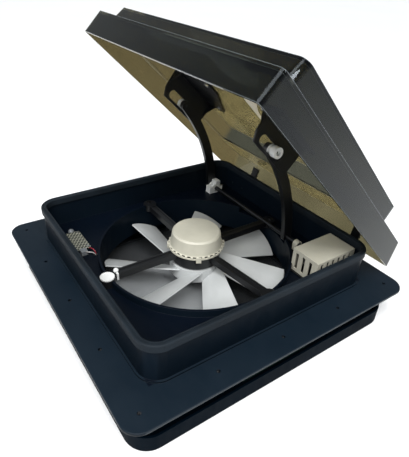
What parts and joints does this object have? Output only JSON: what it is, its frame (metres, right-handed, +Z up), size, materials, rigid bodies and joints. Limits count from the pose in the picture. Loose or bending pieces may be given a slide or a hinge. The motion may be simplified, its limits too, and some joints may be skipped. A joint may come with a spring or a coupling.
{
  "type": "roof vent cover",
  "caption": "Square powered roof vent with a hinged stepped smoked lid, curved lift arms, a ducted fan, rain sensor, lift gearbox and a ceiling trim with keys.",
  "frame": {"origin": "middle of the square of screw holes in the flange, on the roof plane at the underside of the roof gasket", "axes": "+Z up out of the roof, +Y towards the lid hinge, -Y the side where the lid opens, +X towards the lift gearbox"},
  "size_m": [0.47, 0.4743, 0.4124],
  "materials": {
    "base": "satin black plastic moulding",
    "rubber": "dull black rubber",
    "gasket": "matt closed-cell foam",
    "black_plastic": "semi-gloss black plastic",
    "cream_plastic": "satin warm cream plastic",
    "white_plastic": "glossy white nylon",
    "blade_plastic": "translucent pale grey plastic",
    "smoked_acrylic": "glossy smoked acrylic",
    "steel": "bright zinc-plated steel",
    "dark_steel": "blackened steel",
    "circuit_board": "lacquered board with a tinned grid",
    "green_board": "lacquered green board",
    "brass": "machined brass",
    "mesh": "fine woven insect net",
    "key_grey": "soft grey key plastic",
    "red_wire": "red wire insulation",
    "grey_wire": "grey wire insulation"
  },
  "bodies": {
    "housing": {"base_housing": "base", "roof_gasket": "gasket", "rim_edging": "rubber", "motor_cross": "black_plastic", "cross_screws": "dark_steel", "strut_end_cap": "white_plastic", "strut_ball_clip": "white_plastic", "fan_motor": "steel", "motor_screws": "steel", "motor_cap": "cream_plastic", "sensor_board": "circuit_board", "sensor_posts": "black_plastic", "sensor_screws": "steel", "sensor_terminal": "white_plastic", "sensor_eye": "white_plastic", "gearbox_plate": "black_plastic", "gearbox_cover": "cream_plastic", "lift_motor": "steel", "motor_cradle": "black_plastic", "output_bearing": "cream_plastic", "shaft_bearing_clip": "white_plastic", "right_hinge_ears": "black_plastic", "left_hinge_ears": "black_plastic", "hinge_pins": "steel", "ceiling_trim": "base", "trim_screws": "dark_steel", "screen_frame": "black_plastic", "insect_screen": "mesh", "keypad_bezel": "black_plastic", "keypad_board": "green_board", "sensor_wire_red": "red_wire", "sensor_wire_grey": "grey_wire", "wire_grommet": "rubber", "hinge_screws": "dark_steel"},
    "lid": {"lid_dome": "smoked_acrylic", "right_lid_bracket": "black_plastic", "left_lid_bracket": "black_plastic", "bracket_screws": "steel", "right_hinge_leaf": "black_plastic", "left_hinge_leaf": "black_plastic", "leaf_rivets": "dark_steel"},
    "lift": {"lift_shaft": "dark_steel", "right_lift_arm": "black_plastic", "left_lift_arm": "black_plastic", "roller_pins": "steel", "worm_wheel": "white_plastic"},
    "worm": {"lift_worm": "brass"},
    "right_roller": {"right_roller": "white_plastic"},
    "left_roller": {"left_roller": "white_plastic"},
    "fan": {"fan_blades": "blade_plastic", "fan_spindle": "steel", "fan_nut": "brass"},
    "power_button": {"power_button": "key_grey"},
    "lid_button": {"lid_button": "key_grey"},
    "faster_button": {"faster_button": "key_grey"},
    "slower_button": {"slower_button": "key_grey"}
  },
  "joints": [
    {"name": "lid_hinge", "type": "hinge", "parent": "housing", "child": "lid", "pos_m": [0, 0.212, 0.02], "axis": [-1, 0, 0], "range_deg": [-44, 0]},
    {"name": "lift_shaft_turn", "type": "hinge", "parent": "housing", "child": "lift", "pos_m": [0, 0.147, 0.026], "axis": [-1, 0, 0], "range_deg": [-59.66, 0.2]},
    {"name": "worm_turn", "type": "hinge", "parent": "housing", "child": "worm", "pos_m": [0.141, 0.147, 0.0445], "axis": [0, 1, 0], "range_deg": [-2255.22, 2]},
    {"name": "right_roller_turn", "type": "hinge", "parent": "lift", "child": "right_roller", "pos_m": [0.06, 0.08104, 0.19606], "axis": [1, 0, 0], "continuous": true},
    {"name": "left_roller_turn", "type": "hinge", "parent": "lift", "child": "left_roller", "pos_m": [-0.175, 0.08104, 0.19606], "axis": [1, 0, 0], "continuous": true},
    {"name": "fan_spin", "type": "hinge", "parent": "housing", "child": "fan", "pos_m": [0, 0, 0], "axis": [0, 0, 1], "continuous": true},
    {"name": "power_button_press", "type": "slide", "parent": "housing", "child": "power_button", "axis": [0, 0, 1], "range_m": [0, 0.0012], "stiffness_N_per_m": 400, "springref_m": -0.0004},
    {"name": "lid_button_press", "type": "slide", "parent": "housing", "child": "lid_button", "axis": [0, 0, 1], "range_m": [0, 0.0012], "stiffness_N_per_m": 400, "springref_m": -0.0004},
    {"name": "faster_button_press", "type": "slide", "parent": "housing", "child": "faster_button", "axis": [0, 0, 1], "range_m": [0, 0.0012], "stiffness_N_per_m": 400, "springref_m": -0.0004},
    {"name": "slower_button_press", "type": "slide", "parent": "housing", "child": "slower_button", "axis": [0, 0, 1], "range_m": [0, 0.0012], "stiffness_N_per_m": 400, "springref_m": -0.0004}
  ],
  "couplings": [
    {"joint": "lift_shaft_turn", "follows": "lid_hinge", "ratio": 1.3514},
    {"joint": "worm_turn", "follows": "lid_hinge", "ratio": 51.21}
  ]
}
